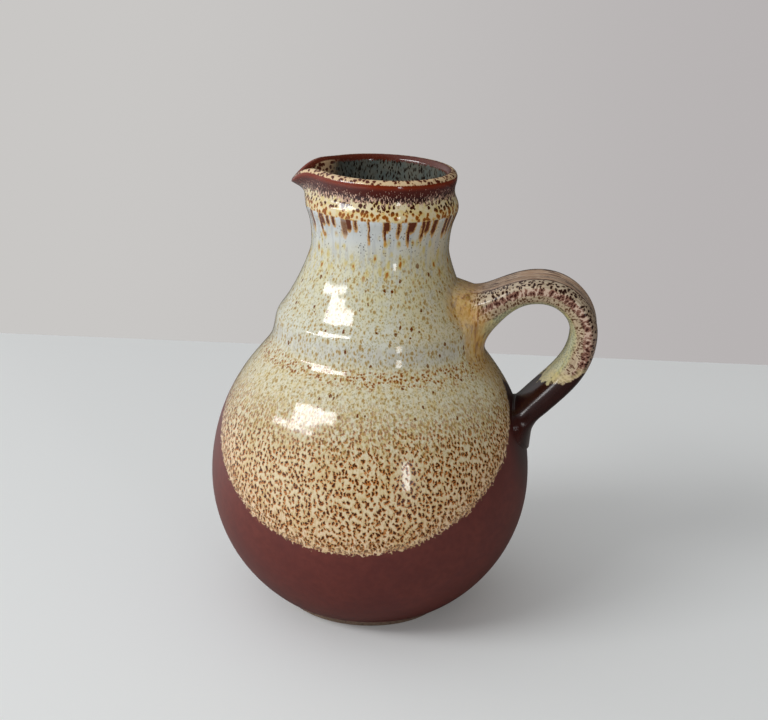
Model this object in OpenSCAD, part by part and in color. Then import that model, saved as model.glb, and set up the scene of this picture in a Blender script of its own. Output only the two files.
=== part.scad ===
// Glazed stoneware jug. A round belly stands on a turned foot ring and carries a stepped
// shoulder, a waisted neck and a beaded collar whose rim is pulled out into a pouring lip.
// A strap handle is luted on with slip, opposite the lip.
// The pot turns about Z and stands on Z = 0. The handle points to +X and the lip to -X.

/* [Belly] */
// Widest radius of the belly
belly_r = 78.5; // [66:0.5:96]
// Height of the widest ring of the belly above the table
belly_z = 66.8; // [56:0.2:90]
// How far the lower oval of the belly would run on below the table
belly_sink = 9.7; // [7:0.1:14]
// Half height of the upper oval of the belly
belly_crown = 86.4; // [76:0.2:110]
// Thickness of the thrown wall
wall = 5.6; // [4:0.1:7]
// Thickness of the floor
floor_t = 7; // [5:0.1:10]

/* [Foot ring] */
// Height of the foot ring
foot_h = 5; // [3:0.1:8]
// Set-back of the foot ring from the lower edge of the belly
foot_inset = 4.6; // [3:0.1:8]
// Width of the foot ring where it stands
foot_w = 7; // [5:0.1:10]
// Inward lean of each side of the foot ring
foot_lean = 1; // [0.5:0.1:1.6]

/* [Shoulder] */
// Radius of the ring where the shoulder is luted to the belly
step_r = 49.5; // [46:0.1:54]
// Height of the upright step at the foot of the shoulder
step_rise = 15.4; // [12:0.1:20]
// Inward lean of the step over its height
step_lean = 2.4; // [1:0.1:4]
// Size of the hollow at the foot of the step
step_hollow = 2.2; // [1:0.1:4]
// Size of the rounding along the top edge of the step
step_round = 4; // [2:0.1:6]
// Height of the shoulder from the step to the waist of the neck
shoulder_h = 32.9; // [28:0.1:42]

/* [Neck] */
// Outer radius at the waist of the neck
waist_r = 32.8; // [30:0.1:36]
// Height from the waist to the widest ring of the collar
neck_h = 19.8; // [16:0.1:26]

/* [Collar] */
// Radius of the beaded lower edge of the collar
bead_r = 36.2; // [34:0.1:40]
// Height from the bead to the hollow in the side of the collar
hollow_h = 8.5; // [6:0.1:12]
// Radius at the hollow in the side of the collar
hollow_r = 34; // [31:0.1:36]
// Height from the hollow to the widest ring of the rim
rim_h = 5.8; // [4:0.1:8]
// Outer radius of the rim
rim_r = 34.8; // [33:0.1:38]
// Thickness of the rim
rim_t = 5.4; // [4:0.1:7]
// Height of the rounded crown of the rim
rim_crown = 3; // [2:0.1:4]

/* [Pouring lip] */
// How far the lip is pulled out past the rim
lip_out = 8.5; // [5:0.1:12]
// Half angle of the rim that the pull draws out
lip_angle = 46; // [36:1:60]
// How far the tip of the lip hangs below the rim
lip_droop = 6.6; // [3:0.1:8]
// Half angle of the rim that hangs
droop_angle = 35; // [25:1:46]
// How far the cheeks of the lip rise above the rim
cheek_rise = 0.5; // [0:0.1:2]

/* [Handle] */
// Height of the middle of the upper root above the step's foot
root_z = 17.9; // [15:0.1:20]
// Rise of the strap where it leaves the upper root, in degrees
root_angle = 29; // [15:1:35]
// Distance from the axis to the top of the arch
arch_x = 78.2; // [72:0.2:86]
// Height of the top of the arch above the upper root
arch_rise = 14.7; // [8:0.1:18]
// Distance from the axis to the outermost point of the strap's middle
reach_x = 99.5; // [95:0.1:112]
// Drop from the top of the arch to the outermost point
reach_drop = 20.6; // [16:0.1:26]
// Height of the middle of the lower root above the widest ring of the belly
tail_z = 34.5; // [30:0.1:40]
// Slope of the strap where it comes down to the belly, in degrees
tail_angle = 54; // [40:1:60]
// Width of the strap
strap_w = 32; // [24:0.5:36]
// Thickness of the strap
strap_t = 13.4; // [10:0.1:16]
// Height of the strap's edges above the middle of its thickness
strap_edge = 2.6; // [0:0.1:3.5]
// Width of the thumb groove along the outside of the strap
groove_w = 18; // [10:0.5:22]
// Depth of the thumb groove
groove_d = 0.7; // [0:0.1:1.5]
// How far the upper root spreads to each side
root_side = 2; // [0.5:0.1:5]
// How far the upper root spreads upwards
root_up = 4.5; // [2:0.1:7]
// How far the upper root spreads downwards
root_down = 16; // [8:0.1:18]
// Length over which the upper root spreads
root_l = 33; // [24:0.5:40]
// How far the lower root spreads to each side
tail_side = 2.5; // [0.5:0.1:5]
// How far the lower root spreads upwards
tail_up = 1.5; // [0.5:0.1:4]
// How far the tail of the lower root is drawn down the belly
tail_down = 13; // [8:0.1:16]
// Length over which the lower root spreads
tail_l = 14; // [10:0.5:20]

/* [Luting slip] */
// Thickness of the slip under each root of the handle
slip_t = 0.9; // [0.5:0.1:1.5]
// Width of the bead of slip pressed out round each root
slip_bead = 1.1; // [0.6:0.1:2]
// Clearance that keeps luted faces apart
lute_gap = 0.1; // [0.05:0.01:0.2]

/* [Hidden] */
$fn = 96;

// Stations on the outer wall, each a radius and a height
foot_edge_r = oval_r(foot_h, belly_r, belly_z + belly_sink);
step_z = oval_z(step_r, belly_r, belly_crown);
step_foot = [step_r, step_z];
step_top = [step_r - step_lean, step_z + step_rise];
waist = [waist_r, step_top.y + shoulder_h];
bead = [bead_r, waist.y + neck_h];
hollow = [hollow_r, bead.y + hollow_h];
rim = [rim_r, hollow.y + rim_h];

// Shares that place the pulls of the curves between those stations
shoulder_out_share = 0.44;
shoulder_up_share = 0.24;
waist_down_share = 0.17;
waist_up_share = 0.7;
bead_down_share = 0.2;
bead_up_share = 0.4;
hollow_share = 0.45;
// Where the seams lie along the shoulder's and the neck's curves
neck_seam_share = 0.6;
collar_seam_share = 0.35;
// A quarter oval drawn as one cubic curve
quarter_share = 0.5523;
strap_root_share = 0.4;
strap_arch_share = 0.35;
strap_reach_share = 0.38;
strap_tail_share = 0.4;
round_run_share = 0.5;
// How far the strap runs on into the pot before its roots are cut, as a share of its width
sink_share = 0.4;

// Powers that shape the spread of the roots, the strap's section and the lip
root_power = 3;
tail_power = 4;
turn_power = 1.6;
outer_squareness = 2.5;
inner_squareness = 2.7;
groove_power = 2;
crowd_power = 1.7;
pull_power = 1.5;
droop_power = 2;
height_power = 1.3;

// Counts of steps along the curves
oval_steps = 24;
curve_steps = 8;
crown_steps = 10;
collar_steps = 72;
strap_steps = 16;
strap_sides = 36;
// Sides of the round that the thin pads of slip are cut to
pot_sides = 360;

// Radius of an oval of half width r and half height h at height z
function oval_r(z, r, h) = r * sqrt(1 - pow((z - belly_z) / h, 2));

// Height at which the upper part of such an oval reaches radius x
function oval_z(x, r, h) = belly_z + h * sqrt(1 - pow(x / r, 2));

// Points of an oval from height z0 to z1, left out at z1 itself
function oval(z0, z1, r, h) =
    [for (i = [0 : oval_steps - 1]) let (z = z0 + (z1 - z0) * i / oval_steps) [oval_r(z, r, h), z]];

// Point at share t of the cubic curve with ends a and d and pulls b and c
function cubic(a, b, c, d, t) =
    pow(1 - t, 3) * a + 3 * pow(1 - t, 2) * t * b + 3 * (1 - t) * t * t * c + pow(t, 3) * d;

// Points of that curve from share t0 to share t1 in n steps, left out at t1 itself
function curve(a, b, c, d, n, t0 = 0, t1 = 1) =
    [for (i = [0 : n - 1]) cubic(a, b, c, d, t0 + (t1 - t0) * i / n)];

function inward(points, t) = [for (p = points) p - [t, 0]];
function reversed(list) = [for (i = [len(list) - 1 : -1 : 0]) list[i]];

// The outer curve of the shoulder and lower neck, from the step's rounded top to the waist
shoulder_pulls = [
    step_top,
    step_top + [-(step_top.x - waist.x) * shoulder_out_share, shoulder_h * shoulder_up_share],
    waist - [0, shoulder_h * waist_down_share],
    waist
];
// The outer curve from the waist to the bead
neck_pulls = [
    waist,
    waist + [0, neck_h * waist_up_share],
    bead - [0, neck_h * bead_down_share],
    bead
];
function at(pulls, t) = cubic(pulls[0], pulls[1], pulls[2], pulls[3], t);
function along(pulls, n, t0 = 0, t1 = 1) = curve(pulls[0], pulls[1], pulls[2], pulls[3], n, t0, t1);
neck_seam = at(shoulder_pulls, neck_seam_share);
collar_seam = at(neck_pulls, collar_seam_share);

// The step: a hollow at its foot, an upright face and a rounded top edge
round_in = step_top - [0, step_round];
round_share = round_run_share * step_round / shoulder_h;
round_out = at(shoulder_pulls, round_share);
step_pulls = [
    step_foot,
    step_foot - [step_hollow, 0],
    [round_in.x, step_z + step_hollow],
    round_in
];
step_curve = concat(
    along(step_pulls, curve_steps),
    along([round_in, step_top, step_top, round_out], curve_steps)
);

// The outer wall from the belly's widest ring to the bead, which the handle is seated on
skin = concat(
    oval(belly_z, step_z, belly_r, belly_crown),
    step_curve,
    along(shoulder_pulls, 2 * curve_steps, round_share, 1),
    along(neck_pulls, curve_steps),
    [bead]
);
skin_table = [for (p = skin) [p.y, p.x]];
function skin_r(z) = lookup(z, skin_table);

// The round of the pot from the belly to the bead, grown by a lift
module pot_round(lift) {
    grown = [for (p = skin) p + [lift, 0]];
    rotate_extrude($fn = pot_sides) polygon(concat([[0, belly_z]], grown, [[0, bead.y]]));
}

// Solid between rings of equal count, closed by a flat face at each end
module loft(rings) {
    m = len(rings[0]);
    n = len(rings);
    points = [for (r = rings) each r];
    start_face = [for (j = [m - 1 : -1 : 0]) j];
    end_face = [for (j = [0 : m - 1]) (n - 1) * m + j];
    sides = [for (i = [0 : n - 2], j = [0 : m - 1])
        let (a = i * m + j, b = i * m + (j + 1) % m)
            each [[a, b, b + m], [a, b + m, a + m]]];
    polyhedron(points, concat([start_face, end_face], sides), convexity = 6);
}

// Solid between rings that close on themselves both ways, as round a ring-shaped piece
module ring_loft(rings) {
    m = len(rings[0]);
    n = len(rings);
    faces = [for (i = [0 : n - 1], j = [0 : m - 1])
        let (j_next = (j + 1) % m, here = i * m, next = (i + 1) % n * m)
            each [[here + j, here + j_next, next + j_next], [here + j, next + j_next, next + j]]];
    polyhedron([for (r = rings) each r], faces, convexity = 6);
}

// Foot ring: a turned ring with leaning sides, set back under the belly
module foot_ring() {
    seat_r = foot_edge_r - foot_inset;
    color("#8a6f5c") rotate_extrude() polygon([
        [seat_r - foot_lean - foot_w, 0],
        [seat_r - foot_lean, 0],
        [seat_r, foot_h],
        [seat_r - foot_w - 2 * foot_lean, foot_h]
    ]);
}

// Bowl: the floor and the round belly up to the seam under the step
module bowl() {
    floor_z = foot_h + floor_t;
    seam_in_r = step_r - wall;
    in_r = belly_r - wall;
    in_low = belly_z + belly_sink - wall;
    in_crown = belly_crown - wall;
    seam_in_z = oval_z(seam_in_r, in_r, in_crown);
    outside = concat(
        oval(foot_h, belly_z, belly_r, belly_z + belly_sink),
        oval(belly_z, step_z, belly_r, belly_crown),
        [step_foot]
    );
    inside = concat(
        oval(floor_z, belly_z, in_r, in_low),
        oval(belly_z, seam_in_z, in_r, in_crown),
        [[seam_in_r, seam_in_z], [seam_in_r, step_z]]
    );
    color("#6b3a34") rotate_extrude()
        polygon(concat([[0, foot_h]], outside, reversed(inside), [[0, floor_z]]));
}

// Shoulder: the step and the slope up to the seam with the neck
module shoulder() {
    outside = concat(
        step_curve,
        along(shoulder_pulls, curve_steps, round_share, neck_seam_share),
        [neck_seam]
    );
    color("#cfc8ae") rotate_extrude() polygon(concat(outside, reversed(inward(outside, wall))));
}

// Neck: the waist, from the shoulder's seam to the seam under the collar
module neck() {
    outside = concat(
        along(shoulder_pulls, curve_steps, neck_seam_share, 1),
        along(neck_pulls, curve_steps, 0, collar_seam_share),
        [collar_seam]
    );
    color("#d3d2c8") rotate_extrude() polygon(concat(outside, reversed(inward(outside, wall))));
}

// A smooth swell over a half angle, full at its middle and gone at its edge
function swell(angle, half, power) = angle < half ? pow((1 + cos(180 * angle / half)) / 2, power) : 0;
function pull_swell(angle) = swell(angle, lip_angle, pull_power);
function droop_swell(angle) = swell(angle, droop_angle, droop_power);

// Share of the pull at height z, none at the bead and all of it at the rim
function pull_share(z) = pow(min(max((z - bead.y) / (rim.y - bead.y), 0), 1), height_power);

// Section of the collar as it was thrown, as radius and height, up the outside and down the inside
inner_rim = rim - [rim_t, 0];
inner_seam = collar_seam - [wall, 0];
inner_pull = [0, (inner_rim.y - inner_seam.y) * hollow_share];
collar_outside = concat(
    along(neck_pulls, curve_steps, collar_seam_share),
    curve(bead, bead + [0, hollow_h * bead_up_share],
        hollow - [0, hollow_h * hollow_share], hollow, curve_steps),
    curve(hollow, hollow + [0, rim_h * hollow_share],
        rim - [0, rim_h * hollow_share], rim, curve_steps / 2)
);
collar_crown = [for (i = [0 : crown_steps - 1])
    let (a = 180 * i / crown_steps)
        rim + [rim_t / 2 * (cos(a) - 1), rim_crown * sin(a)]];
collar_inside = curve(inner_rim, inner_rim - inner_pull, inner_seam + inner_pull, inner_seam, curve_steps);
collar_thrown = concat(collar_outside, collar_crown, collar_inside, [inner_seam]);

// That section at an angle from the lip's middle, pulled out and down
function collar_section(angle) =
    let (
        out = lip_out * pull_swell(angle),
        up = cheek_rise * (pull_swell(angle) - droop_swell(angle)) - lip_droop * droop_swell(angle)
    )
    [for (p = collar_thrown) let (k = pull_share(p.y)) p + [out * k, up * k]];

// Collar: the beaded band and the rounded rim, pulled out at -X into the pouring lip
module collar() {
    rings = [for (i = [0 : collar_steps - 1])
        let (turn = 360 * i / collar_steps, angle = turn > 180 ? 360 - turn : turn)
            [for (p = collar_section(angle)) [-p.x * cos(turn), -p.x * sin(turn), p.y]]];
    color("#7a4a34") ring_loft(rings);
}

// The line through the middle of the strap, in the plane of the handle
root_at = [skin_r(step_z + root_z), step_z + root_z];
arch_at = [arch_x, root_at.y + arch_rise];
reach_at = [reach_x, arch_at.y - reach_drop];
tail_at = [skin_r(belly_z + tail_z), belly_z + tail_z];
root_span = norm(arch_at - root_at);
tail_span = norm(reach_at - tail_at);
rise_pulls = [
    root_at,
    root_at + root_span * strap_root_share * [cos(root_angle), sin(root_angle)],
    arch_at - [root_span * strap_arch_share, 0],
    arch_at
];
bend_pulls = [
    arch_at,
    arch_at + [(reach_at.x - arch_at.x) * quarter_share, 0],
    reach_at + [0, reach_drop * quarter_share],
    reach_at
];
fall_pulls = [
    reach_at,
    reach_at - [0, tail_span * strap_reach_share],
    tail_at + tail_span * strap_tail_share * [cos(tail_angle), sin(tail_angle)],
    tail_at
];
// Its points crowd towards both roots
crowded_shares = [for (i = [0 : strap_steps - 1]) pow(i / strap_steps, crowd_power)];
strap_line = concat(
    [for (t = crowded_shares) at(rise_pulls, t)],
    along(bend_pulls, strap_steps),
    [for (t = reversed(crowded_shares)) at(fall_pulls, 1 - t)]
);
strap_end = len(strap_line) - 1;
// Length along that line up to each of its points
function strap_gap(i) = norm(strap_line[min(i + 1, strap_end)] - strap_line[i]);
strap_run = [for (i = 0, s = 0; i <= strap_end; s = s + strap_gap(i), i = i + 1) s];
strap_len = strap_run[strap_end];

// Shares of the spread of each root at point i
function flare(s, l, power) = s < l ? pow(1 - s / l, power) : 0;
function root_flare(i) = flare(strap_run[i], root_l, root_power);
function tail_flare(i) = flare(strap_len - strap_run[i], tail_l, tail_power);
function spread(i, plain, root, tail) = plain / 2 + root * root_flare(i) + tail * tail_flare(i);

// Direction square to the outline at point i: along the line, turning square to the wall at both roots
function unit(v) = v / norm(v);
wall_slope = (skin_r(tail_at.y + strap_t) - skin_r(tail_at.y - strap_t)) / (2 * strap_t);
wall_dir = unit([-1, wall_slope]);
function root_turn(i) = flare(strap_run[i], root_l, turn_power);
function tail_turn(i) = flare(strap_len - strap_run[i], tail_l, turn_power);
function strap_dir(i) =
    let (along_line = unit(strap_line[min(i + 1, strap_end)] - strap_line[max(i - 1, 0)]))
        unit(along_line * (1 - root_turn(i) - tail_turn(i)) + [root_turn(i), 0] + wall_dir * tail_turn(i));
function squared(v, squareness) = sign(v) * pow(abs(v), 2 / squareness);

// Depth of the thumb groove at a distance from the middle of the strap, gone where the roots spread
function groove(aside, i) =
    let (across = min(abs(aside) / (groove_w / 2), 1))
        groove_d * pow(1 - across * across, groove_power) * (1 - root_flare(i)) * (1 - tail_flare(i));

// Outline of the strap at point i of its line, grown by a bead and sunk towards the pot:
// a flat outside and a rounder inside, which meet in an edge along each side
function strap_ring(i, bead = 0, sink = [0, 0]) =
    let (
        c = strap_line[i] + sink,
        d = strap_dir(i),
        above = spread(i, strap_t, root_up, tail_down) - strap_edge + bead,
        below = spread(i, strap_t, root_down, tail_up) + strap_edge + bead,
        half_w = spread(i, strap_w, root_side, tail_side) + bead
    )
    [for (j = [0 : strap_sides - 1])
        let (
            a = -360 * j / strap_sides,
            inner = a > -180,
            squareness = inner ? inner_squareness : outer_squareness,
            aside = half_w * squared(cos(a), squareness),
            rise = strap_edge + (inner ? below : above) * squared(sin(a), squareness),
            n = inner ? rise : rise - groove(aside, i)
        )
            [c.x - d.y * n, aside, c.y + d.x * n]];

// Outlines from point a to point b, run on into the pot where they reach a root
function strap_rings(a, b, bead = 0) =
    let (sink = strap_w * sink_share)
    concat(
        a == 0 ? [strap_ring(a, bead, [-sink, 0])] : [],
        [for (i = [a : b]) strap_ring(i, bead)],
        b == strap_end ? [strap_ring(b, bead, wall_dir * sink)] : []
    );

// Handle: the strap, with both flared roots cut to the round of the pot
module handle() {
    color("#b9b096") difference() {
        loft(strap_rings(0, strap_end));
        pot_round(slip_t);
    }
}

// A pad of slip round the pot, under the root that lies between points a and b of the strap
module slip_pad(a, b) {
    difference() {
        intersection() {
            loft(strap_rings(a, b, slip_bead));
            pot_round(slip_t - lute_gap);
        }
        pot_round(lute_gap);
    }
}

// Upper slip: the luting under the handle's upper root
module upper_slip() {
    color("#a08a6a") slip_pad(0, strap_steps);
}

// Lower slip: the luting under the handle's lower root
module lower_slip() {
    color("#4a2a26") slip_pad(strap_end - strap_steps, strap_end);
}

foot_ring();
bowl();
shoulder();
neck();
collar();
handle();
upper_slip();
lower_slip();
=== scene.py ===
# %% [markdown]
# # A stoneware jug in two glazes
#
# A potter throws this jug in sections, joins them while the clay is soft, pulls a strap for the handle
# and dips the pot in glaze: a satin brown below, a pale speckled glaze above. The lesson follows the same
# order. The walls are turned on a wheel made of Geometry Nodes, the strap is pulled along a line by a
# second tree, and the glazes are procedural materials that run on over the joints.
#
# Every size below is in millimetres, as on a drawing, and is scaled to metres when a mesh is made.

# %% Load the fixed frame
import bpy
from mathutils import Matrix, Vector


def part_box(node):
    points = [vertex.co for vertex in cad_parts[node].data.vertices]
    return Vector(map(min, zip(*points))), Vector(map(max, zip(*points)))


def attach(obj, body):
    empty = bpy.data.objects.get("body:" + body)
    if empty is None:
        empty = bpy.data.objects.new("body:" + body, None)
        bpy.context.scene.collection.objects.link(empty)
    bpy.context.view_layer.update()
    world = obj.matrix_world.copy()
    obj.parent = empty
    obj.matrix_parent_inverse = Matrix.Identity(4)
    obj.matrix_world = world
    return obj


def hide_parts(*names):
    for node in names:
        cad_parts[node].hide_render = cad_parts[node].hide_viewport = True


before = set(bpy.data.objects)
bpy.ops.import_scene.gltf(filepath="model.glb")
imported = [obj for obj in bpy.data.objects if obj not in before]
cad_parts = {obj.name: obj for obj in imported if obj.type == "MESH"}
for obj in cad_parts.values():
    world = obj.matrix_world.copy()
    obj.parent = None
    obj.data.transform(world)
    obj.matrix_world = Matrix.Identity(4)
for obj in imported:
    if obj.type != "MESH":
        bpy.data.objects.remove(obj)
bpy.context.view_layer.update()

import math

import bpy
import numpy as np
from mathutils import Quaternion, Vector

MM = 0.001
TINY = 0.00001
WELD = 0.002 * MM
scene = bpy.context.scene
scene.view_settings.view_transform = "Standard"
print("pieces in the frame:", ", ".join(sorted(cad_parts)))


# %% [markdown]
# ## Wires
#
# Node trees are long to write socket by socket. One small class wraps a socket, so that a sum written in
# Python adds its Math nodes to the tree by itself. Every other node comes from one method, which sets the
# node's settings first and then the values or links of its sockets. The same class serves the wheel, the
# strap and the glazes, because Geometry Nodes and materials share their Math nodes.

# %% A socket that takes part in sums
class Wire:
    def __init__(self, socket):
        self.socket = socket

    @staticmethod
    def add(tree, kind, settings=None, sockets=None, out=0):
        node = tree.nodes.new(kind)
        for name, value in (settings or {}).items():
            setattr(node, name, value)
        for name, value in (sockets or {}).items():
            for one in value if isinstance(value, list) else [value]:
                if isinstance(one, Wire):
                    tree.links.new(one.socket, node.inputs[name])
                else:
                    node.inputs[name].default_value = one
        return Wire(node.outputs[out]) if node.outputs else None

    def other(self, out):
        return Wire(self.socket.node.outputs[out])

    def math(self, operation, *values):
        return Wire.add(self.socket.id_data, "ShaderNodeMath", {"operation": operation},
                        dict(enumerate(values)))

    def __add__(self, value):
        return self.math("ADD", self, value)

    def __sub__(self, value):
        return self.math("SUBTRACT", self, value)

    def __rsub__(self, value):
        return self.math("SUBTRACT", value, self)

    def __mul__(self, value):
        return self.math("MULTIPLY", self, value)

    def __truediv__(self, value):
        return self.math("DIVIDE", self, value)

    def __rtruediv__(self, value):
        return self.math("DIVIDE", value, self)

    def __pow__(self, value):
        return self.math("POWER", self, value)

    def __mod__(self, value):
        return self.math("MODULO", self, value)

    def __abs__(self):
        return self.math("ABSOLUTE", self)

    def __gt__(self, value):
        return self.math("GREATER_THAN", self, value)

    __radd__ = __add__
    __rmul__ = __mul__

    def floor(self):
        return self.math("FLOOR", self)

    def sin(self):
        return self.math("SINE", self)

    def cos(self):
        return self.math("COSINE", self)

    def sqrt(self):
        return self.math("SQRT", self)

    def least(self, value):
        return self.math("MINIMUM", self, value)

    def most(self, value):
        return self.math("MAXIMUM", self, value)

    def clamp(self):
        return self.most(0.0).least(1.0)

    def ease(self, low, high):
        return Wire.add(self.socket.id_data, "ShaderNodeMapRange", {"interpolation_type": "SMOOTHSTEP"},
                        {"Value": self, "From Min": low, "From Max": high})

    def fall(self, low, high):
        return 1.0 - self.ease(low, high)


print("wires ready")


# %% [markdown]
# ## Fire a tree into a plain mesh
#
# A Geometry Nodes tree is a recipe. To make a piece, a small mesh with the drawn line goes in, the named
# inputs are set by their identifiers, and the evaluated result is kept as a plain mesh. The recipe is then
# taken off, so nothing is left to work out later.

# %% From a drawn line to a finished mesh
def drawn_line(name, points, closed, marks):
    """A mesh of one edge chain in the XZ plane, with a number or vector stored at every point."""
    count = len(points)
    edges = [(i, (i + 1) % count) for i in range(count if closed else count - 1)]
    mesh = bpy.data.meshes.new(name)
    mesh.from_pydata([(x * MM, 0.0, z * MM) for x, z in points], edges, [])
    for mark, values in marks.items():
        flat = np.asarray(values, dtype=np.float32)
        kind, field = ("FLOAT_VECTOR", "vector") if flat.ndim == 2 else ("FLOAT", "value")
        mesh.attributes.new(mark, kind, "POINT").data.foreach_set(field, flat.ravel())
    return mesh


def fire(name, line, tree, inputs):
    """Runs a tree on a drawn line and keeps the result as a plain mesh object."""
    piece = bpy.data.objects.new(name, line)
    scene.collection.objects.link(piece)
    recipe = piece.modifiers.new("recipe", "NODES")
    recipe.node_group = tree
    for item in tree.interface.items_tree:
        if item.in_out == "INPUT" and item.name in inputs:
            recipe[item.identifier] = inputs[item.name]
    graph = bpy.context.evaluated_depsgraph_get()
    mesh = bpy.data.meshes.new_from_object(piece.evaluated_get(graph))
    piece.modifiers.remove(recipe)
    piece.data = mesh
    mesh.name = name
    bpy.data.meshes.remove(line)
    return piece


def new_tree(name, inputs):
    """An empty Geometry Nodes tree with named inputs. Returns the tree and a wire for each input."""
    tree = bpy.data.node_groups.new(name, "GeometryNodeTree")
    tree.interface.new_socket("Geometry", in_out="INPUT", socket_type="NodeSocketGeometry")
    tree.interface.new_socket("Geometry", in_out="OUTPUT", socket_type="NodeSocketGeometry")
    for label, kind in inputs.items():
        tree.interface.new_socket(label, in_out="INPUT", socket_type="NodeSocket" + kind)
    source = tree.nodes.new("NodeGroupInput")
    return tree, {socket.name: Wire(socket) for socket in source.outputs if socket.name}


print("helpers ready")


# %% [markdown]
# ## The wheel
#
# Throwing turns one section line round an axis, and the pouring lip is then pulled out of the round rim
# with two fingers. A Screw modifier could turn the line, but not pull the lip. The tree below lays a grid
# out, one column for each point of the section and one row for each step round, and sends every grid point
# to its place on the pot. The rim's pull fades from the spout's middle to its sides and from the rim down
# to the bead. Two marks are kept on the mesh for the glazes: the height before the pull, and which side of
# the wall a point is on.

# %% Build the wheel
WHEEL_INPUTS = {
    "Steps round": "Int", "Section points": "Int", "Columns": "Int", "Lip out": "Float", "Lip half": "Float",
    "Lip power": "Float", "Droop": "Float", "Droop half": "Float", "Droop power": "Float",
    "Cheek rise": "Float", "Pull from": "Float", "Pull to": "Float", "Pull power": "Float",
    "Crease": "Float", "Glaze": "Material",
}


def xyz(vector):
    """The three parts of a vector."""
    x = Wire.add(vector.socket.id_data, "ShaderNodeSeparateXYZ", None, {"Vector": vector})
    return x, x.other("Y"), x.other("Z")


def joined(tree, x, y, z):
    """A vector from its three parts."""
    return Wire.add(tree, "ShaderNodeCombineXYZ", None, {"X": x, "Y": y, "Z": z})


def from_line(tree, line, mark, index, kind):
    """Reads a value of the drawn line at a point's index."""
    if mark == "position":
        value = Wire.add(tree, "GeometryNodeInputPosition")
    else:
        value = Wire.add(tree, "GeometryNodeInputNamedAttribute", {"data_type": kind}, {"Name": mark})
    return Wire.add(tree, "GeometryNodeSampleIndex", {"data_type": kind},
                    {"Geometry": line, "Value": value, "Index": index})


def keep_mark(tree, shape, mark, value, kind="FLOAT"):
    """Stores a value on the points of a shape, for a glaze to read."""
    return Wire.add(tree, "GeometryNodeStoreNamedAttribute", {"data_type": kind, "domain": "POINT"},
                    {"Geometry": shape, "Name": mark, "Value": value})


def finish_tree(tree, shape, crease, glaze):
    """Closes seams, keeps corners crisp, and ends in plain geometry with its glaze."""
    shape = Wire.add(tree, "GeometryNodeMergeByDistance", None, {"Geometry": shape, "Distance": WELD})
    shape = Wire.add(tree, "GeometryNodeSetShadeSmooth", {"domain": "FACE"},
                     {"Geometry": shape, "Shade Smooth": True})
    corner = Wire.add(tree, "GeometryNodeInputMeshEdgeAngle") > crease
    shape = Wire.add(tree, "GeometryNodeSetShadeSmooth", {"domain": "EDGE"},
                     {"Geometry": shape, "Selection": corner, "Shade Smooth": False})
    shape = Wire.add(tree, "GeometryNodeRealizeInstances", None, {"Geometry": shape})
    shape = Wire.add(tree, "GeometryNodeSetMaterial", None, {"Geometry": shape, "Material": glaze})
    Wire.add(tree, "NodeGroupOutput", None, {"Geometry": shape})


def swell(turn, half, power):
    """1 at the middle of the lip, falling softly to 0 at half an angle away."""
    return ((1.0 + ((turn / half).least(1.0) * math.pi).cos()) * 0.5).most(0.0) ** power


def build_wheel():
    tree, given = new_tree("wheel", WHEEL_INPUTS)
    grid = Wire.add(tree, "GeometryNodeMeshGrid", None,
                    {"Vertices X": given["Steps round"] + 1, "Vertices Y": given["Columns"]})
    index = Wire.add(tree, "GeometryNodeInputIndex")
    row = (index / given["Columns"] + TINY).floor()
    column = index - row * given["Columns"]
    point = column % given["Section points"]
    turn = row / given["Steps round"] * math.tau
    radius, _, height = xyz(from_line(tree, given["Geometry"], "position", point, "FLOAT_VECTOR"))
    away = math.pi - abs(turn - math.pi)
    pull = swell(away, given["Lip half"], given["Lip power"])
    droop = swell(away, given["Droop half"], given["Droop power"])
    share = (height - given["Pull from"]) / (given["Pull to"] - given["Pull from"])
    share = share.clamp() ** given["Pull power"]
    out = radius + share * given["Lip out"] * pull
    up = height + share * (given["Cheek rise"] * (pull - droop) - given["Droop"] * droop)
    spot = joined(tree, out * turn.cos() * -1.0, out * turn.sin() * -1.0, up)
    shape = keep_mark(tree, grid, "thrown_height", height / MM)
    shape = keep_mark(tree, shape, "inside", from_line(tree, given["Geometry"], "inside", point, "FLOAT"))
    shape = Wire.add(tree, "GeometryNodeSetPosition", None, {"Geometry": shape, "Position": spot})
    finish_tree(tree, shape, given["Crease"], given["Glaze"])
    return tree


wheel = build_wheel()
print("wheel:", len(wheel.nodes), "nodes")


# %% [markdown]
# ## The section lines
#
# The outside of the jug is a chain of ovals and soft curves: a belly of two half ovals, an upright step, a
# sloping shoulder, a waist, and a collar with a bead and a rounded rim. Each curve is a cubic with two
# pulls, so the whole outline needs only a few numbers, and they are the same numbers as in the solids.

# %% Curves of the section
def mix_points(first, second, share):
    return (first[0] + (second[0] - first[0]) * share, first[1] + (second[1] - first[1]) * share)


def shifted(point, out=0.0, up=0.0):
    return (point[0] + out, point[1] + up)


def halves(pulls, share):
    """Cuts a cubic in two at a share of its run."""
    a, b, c = [mix_points(pulls[i], pulls[i + 1], share) for i in range(3)]
    d, e = mix_points(a, b, share), mix_points(b, c, share)
    middle = mix_points(d, e, share)
    return [pulls[0], a, d, middle], [middle, e, c, pulls[3]]


def on_cubic(pulls, share):
    return halves(pulls, share)[0][3]


def crowded(count):
    """Shares from 0 to 1, with a few more close to both ends, so that shading agrees across a joint."""
    plain = [i / count for i in range(1, count)]
    return [0.0, 0.08 / count, 0.4 / count, *plain, 1 - 0.4 / count, 1 - 0.08 / count, 1.0]


def run(pulls, count):
    return [on_cubic(pulls, share) for share in crowded(count)]


def oval(radius, half_height, middle, first, last, count):
    """Part of an oval between two angles, in degrees from the horizontal."""
    turns = [math.radians(first + (last - first) * share) for share in crowded(count)]
    return [(radius * math.cos(turn), middle + half_height * math.sin(turn)) for turn in turns]


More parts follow.
